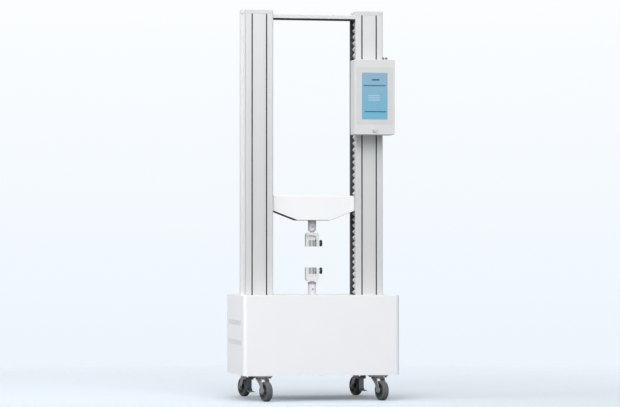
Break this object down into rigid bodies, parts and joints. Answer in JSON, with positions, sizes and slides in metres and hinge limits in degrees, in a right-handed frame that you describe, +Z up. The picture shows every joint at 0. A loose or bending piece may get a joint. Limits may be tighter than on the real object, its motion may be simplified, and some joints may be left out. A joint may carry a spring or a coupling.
{
  "type": "universal testing machine",
  "caption": "Floor-standing two-column materials tester on casters, with a screw-driven crosshead in bellows-covered columns, screw grips and a touch panel",
  "frame": {"origin": "on the floor under the middle of the base, which is also under the load axis", "axes": "+X to the right of a person at the front, -Y towards that person, +Z up along the load axis"},
  "size_m": [0.75, 0.582, 1.8585],
  "materials": {
    "white_enamel": "fine textured white enamel on sheet steel",
    "satin_aluminium": "satin anodised extrusion",
    "cap_plastic": "moulded light grey",
    "panel_grey": "pale grey enamel",
    "display": "glass-fronted display",
    "dark_steel": "dark grey primer",
    "cast_housing": "machined casting",
    "ground_steel": "ground and hardened",
    "grip_steel": "nickel plated",
    "jaw_steel": "hardened and blacked",
    "black_plastic": "moulded black",
    "button_metal": "polished metal push button",
    "belt_rubber": "moulded rubber",
    "bellows_fabric": "coated fabric folds",
    "controller_case": "extruded case",
    "caster_steel": "zinc plated pressing",
    "wheel_rubber": "grey rubber on a plastic hub"
  },
  "bodies": {
    "frame": {"base_frame": "dark_steel", "base_table": "dark_steel", "base_housing": "white_enamel", "rear_cover": "white_enamel", "mains_inlet": "black_plastic", "left_column": "satin_aluminium", "right_column": "satin_aluminium", "column_caps": "cap_plastic", "cable_duct": "satin_aluminium", "channel_liners": "black_plastic", "top_beam": "satin_aluminium", "screw_bearings": "cast_housing", "guide_rods": "ground_steel", "servo_motor": "cast_housing", "drive_belt": "belt_rubber", "motor_controller": "controller_case", "upper_bellows": "bellows_fabric", "lower_bellows": "bellows_fabric", "lower_stem": "grip_steel", "lower_lock_ring": "jaw_steel", "lower_grip_body": "grip_steel", "lower_fixed_jaw": "jaw_steel", "panel_bracket": "dark_steel", "panel_case": "panel_grey", "panel_fascia": "panel_grey", "panel_screen": "display", "button_collar": "button_metal", "panel_connectors": "black_plastic", "caster_plates": "caster_steel"},
    "crosshead": {"crosshead_beam": "cast_housing", "crosshead_front_cover": "white_enamel", "crosshead_rear_cover": "white_enamel", "crosshead_carriages": "cast_housing", "carriage_bushings": "ground_steel", "load_cell": "ground_steel", "upper_stem": "grip_steel", "upper_grip_body": "grip_steel", "upper_fixed_jaw": "jaw_steel"},
    "left_screw": {"left_ball_screw": "ground_steel"},
    "right_screw": {"right_ball_screw": "ground_steel"},
    "motor_shaft": {"motor_pulley": "ground_steel"},
    "upper_jaw": {"upper_moving_jaw": "jaw_steel"},
    "upper_clamp": {"upper_clamp_screw": "ground_steel", "upper_clamp_knob": "black_plastic"},
    "lower_jaw": {"lower_moving_jaw": "jaw_steel"},
    "lower_clamp": {"lower_clamp_screw": "ground_steel", "lower_clamp_knob": "black_plastic"},
    "button": {"panel_button": "button_metal"},
    "front_left_caster": {"front_left_fork": "caster_steel"},
    "front_left_roller": {"front_left_wheel": "wheel_rubber"},
    "front_right_caster": {"front_right_fork": "caster_steel"},
    "front_right_roller": {"front_right_wheel": "wheel_rubber"},
    "rear_left_caster": {"rear_left_fork": "caster_steel"},
    "rear_left_roller": {"rear_left_wheel": "wheel_rubber"},
    "rear_left_brake": {"rear_left_brake_pedal": "caster_steel"},
    "rear_right_caster": {"rear_right_fork": "caster_steel"},
    "rear_right_roller": {"rear_right_wheel": "wheel_rubber"},
    "rear_right_brake": {"rear_right_brake_pedal": "caster_steel"}
  },
  "joints": [
    {"name": "crosshead_travel", "type": "slide", "parent": "frame", "child": "crosshead", "axis": [0, 0, 1], "range_m": [-0.085, 0.6], "deforming": ["upper_bellows", "lower_bellows"]},
    {"name": "left_screw_turn", "type": "hinge", "parent": "frame", "child": "left_screw", "pos_m": [-0.2415, 0, 0.6], "axis": [0, 0, 1], "range_deg": [-21650, 3110]},
    {"name": "right_screw_turn", "type": "hinge", "parent": "frame", "child": "right_screw", "pos_m": [0.2415, 0, 0.6], "axis": [0, 0, 1], "range_deg": [-21650, 3110]},
    {"name": "motor_turn", "type": "hinge", "parent": "frame", "child": "motor_shaft", "pos_m": [0, 0.13, 0.2], "axis": [0, 0, 1], "range_deg": [-32450, 4640]},
    {"name": "upper_jaw_slide", "type": "slide", "parent": "crosshead", "child": "upper_jaw", "axis": [-1, 0, 0], "range_m": [-0.0035, 0.0065]},
    {"name": "upper_clamp_turn", "type": "hinge", "parent": "upper_jaw", "child": "upper_clamp", "pos_m": [0.03, 0, 0.744], "axis": [-1, 0, 0], "range_deg": [-640, 1180]},
    {"name": "lower_jaw_slide", "type": "slide", "parent": "frame", "child": "lower_jaw", "axis": [-1, 0, 0], "range_m": [-0.0035, 0.0065]},
    {"name": "lower_clamp_turn", "type": "hinge", "parent": "lower_jaw", "child": "lower_clamp", "pos_m": [0.03, 0, 0.612], "axis": [-1, 0, 0], "range_deg": [-640, 1180]},
    {"name": "panel_button_press", "type": "slide", "parent": "frame", "child": "button", "axis": [0, 1, 0], "range_m": [0, 0.003], "stiffness_N_per_m": 400},
    {"name": "front_left_swivel", "type": "hinge", "parent": "frame", "child": "front_left_caster", "pos_m": [-0.278, -0.205, 0.11], "axis": [0, 0, 1], "continuous": true},
    {"name": "front_left_roll", "type": "hinge", "parent": "front_left_caster", "child": "front_left_roller", "pos_m": [-0.26698, -0.24345, 0.047], "axis": [0.9613, 0.2756, 0], "continuous": true},
    {"name": "front_right_swivel", "type": "hinge", "parent": "frame", "child": "front_right_caster", "pos_m": [0.278, -0.205, 0.11], "axis": [0, 0, 1], "continuous": true},
    {"name": "front_right_roll", "type": "hinge", "parent": "front_right_caster", "child": "front_right_roller", "pos_m": [0.28902, -0.24345, 0.047], "axis": [0.9613, 0.2756, 0], "continuous": true},
    {"name": "rear_left_swivel", "type": "hinge", "parent": "frame", "child": "rear_left_caster", "pos_m": [-0.278, 0.205, 0.11], "axis": [0, 0, 1], "continuous": true},
    {"name": "rear_left_roll", "type": "hinge", "parent": "rear_left_caster", "child": "rear_left_roller", "pos_m": [-0.28902, 0.24345, 0.047], "axis": [0.9613, 0.2756, 0], "continuous": true},
    {"name": "rear_left_brake_press", "type": "hinge", "parent": "rear_left_caster", "child": "rear_left_brake", "pos_m": [-0.27359, 0.18962, 0.088], "axis": [0.9613, 0.2756, 0], "range_deg": [0, 8]},
    {"name": "rear_right_swivel", "type": "hinge", "parent": "frame", "child": "rear_right_caster", "pos_m": [0.278, 0.205, 0.11], "axis": [0, 0, 1], "continuous": true},
    {"name": "rear_right_roll", "type": "hinge", "parent": "rear_right_caster", "child": "rear_right_roller", "pos_m": [0.26698, 0.24345, 0.047], "axis": [0.9613, 0.2756, 0], "continuous": true},
    {"name": "rear_right_brake_press", "type": "hinge", "parent": "rear_right_caster", "child": "rear_right_brake", "pos_m": [0.28241, 0.18962, 0.088], "axis": [0.9613, 0.2756, 0], "range_deg": [0, 8]}
  ],
  "couplings": [
    {"joint": "left_screw_turn", "follows": "crosshead_travel", "rad_per_m": -628.32},
    {"joint": "right_screw_turn", "follows": "crosshead_travel", "rad_per_m": -628.32},
    {"joint": "motor_turn", "follows": "crosshead_travel", "rad_per_m": -942.48},
    {"joint": "upper_clamp_turn", "follows": "upper_jaw_slide", "rad_per_m": 3141.6},
    {"joint": "lower_clamp_turn", "follows": "lower_jaw_slide", "rad_per_m": 3141.6}
  ]
}
